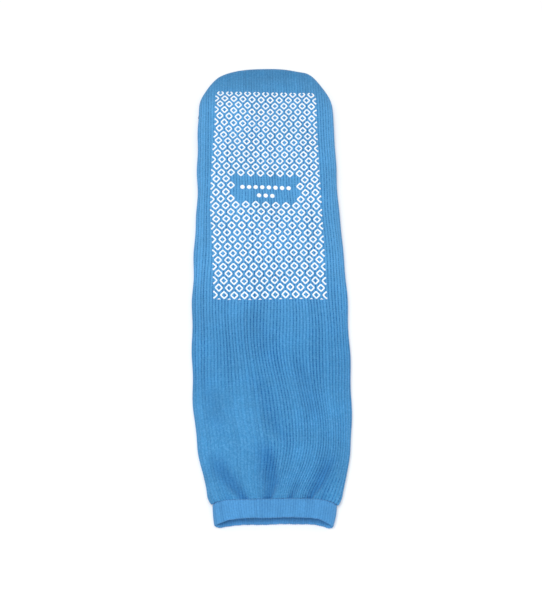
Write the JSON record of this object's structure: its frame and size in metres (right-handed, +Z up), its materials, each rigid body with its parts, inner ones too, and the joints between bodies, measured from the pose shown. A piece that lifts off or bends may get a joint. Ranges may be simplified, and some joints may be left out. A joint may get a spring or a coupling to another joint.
{
  "type": "slipper sock",
  "caption": "Heel-less terry tube slipper sock with an elastic welt and raised grip print on both faces of the foot, lying flat and empty on its sole face.",
  "frame": {"origin": "on the floor, half way along the sock and half way across it", "axes": "+X across the sock, +Y from the cuff to the toe, +Z up, out of the upper face"},
  "size_m": [0.1238, 0.4125, 0.0144],
  "materials": {
    "terry_knit": "ribbed terry knit, light blue, matt",
    "elastic_rib": "fine smooth elastic rib, light blue, matt",
    "linking_thread": "linked seam thread, light blue",
    "silicone_print": "white raised silicone print, satin"
  },
  "bodies": {
    "root": {"knit_body": "terry_knit", "cuff_welt": "elastic_rib", "toe_seam": "linking_thread", "grip_print_top": "silicone_print", "grip_print_sole": "silicone_print"}
  },
  "joints": []
}
